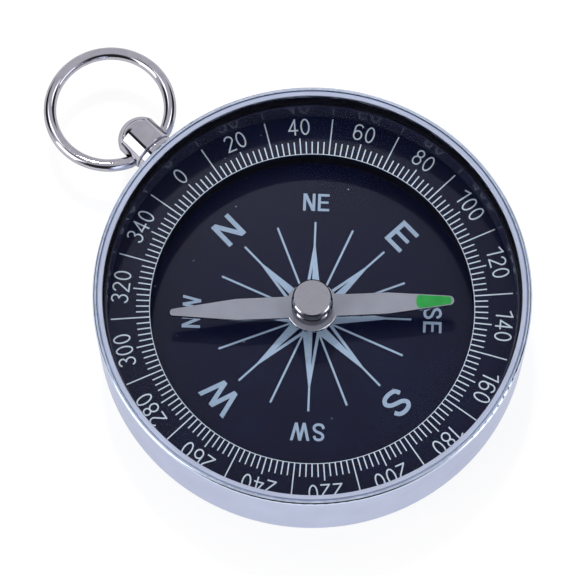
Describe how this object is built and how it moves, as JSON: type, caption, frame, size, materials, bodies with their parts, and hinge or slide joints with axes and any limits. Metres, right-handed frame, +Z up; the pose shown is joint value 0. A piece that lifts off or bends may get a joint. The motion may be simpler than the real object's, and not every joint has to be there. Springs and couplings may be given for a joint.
{
  "type": "pocket compass",
  "caption": "Round pocket compass with an aluminium case, flat crystal, sunken dial, raised degree scale, free needle on a point, and a stem with a swinging bow ring.",
  "frame": {"origin": "centre of the case's flat underside", "axes": "+Z up through the needle's pivot and the crystal, +Y out through the stem and the bow, which is north on the printed scale, +X towards east"},
  "size_m": [0.0452, 0.0605, 0.0104],
  "materials": {
    "satin_aluminium": "satin, finely turned",
    "clear_crystal": "clear, polished",
    "black_plastic": "matt",
    "navy_plastic": "satin, printed",
    "print_ink": "matt printed ink",
    "needle_steel": "satin plated",
    "green_paint": "gloss paint",
    "nickel": "polished nickel plate",
    "brass": "turned",
    "pin_steel": "ground",
    "jewel": "polished"
  },
  "bodies": {
    "case": {"case": "satin_aluminium", "retaining_ring": "satin_aluminium", "crystal": "clear_crystal", "crystal_seat": "black_plastic", "upper_spacer": "navy_plastic", "scale_ring": "navy_plastic", "lower_spacer": "black_plastic", "dial_plate": "navy_plastic", "pivot_base": "brass", "pivot_pin": "pin_steel", "stem": "nickel", "stem_collar": "nickel"},
    "needle": {"needle": "needle_steel", "needle_cap": "nickel", "jewel_cup": "jewel"},
    "bow": {"bow_ring": "nickel"}
  },
  "joints": [
    {"name": "needle_spin", "type": "hinge", "parent": "case", "child": "needle", "pos_m": [0, 0, 0.00672], "axis": [0, 0, 1], "continuous": true},
    {"name": "bow_swing", "type": "hinge", "parent": "case", "child": "bow", "pos_m": [0, 0.02491, 0.0052], "axis": [1, 0, 0], "range_deg": [-110, 110]}
  ]
}
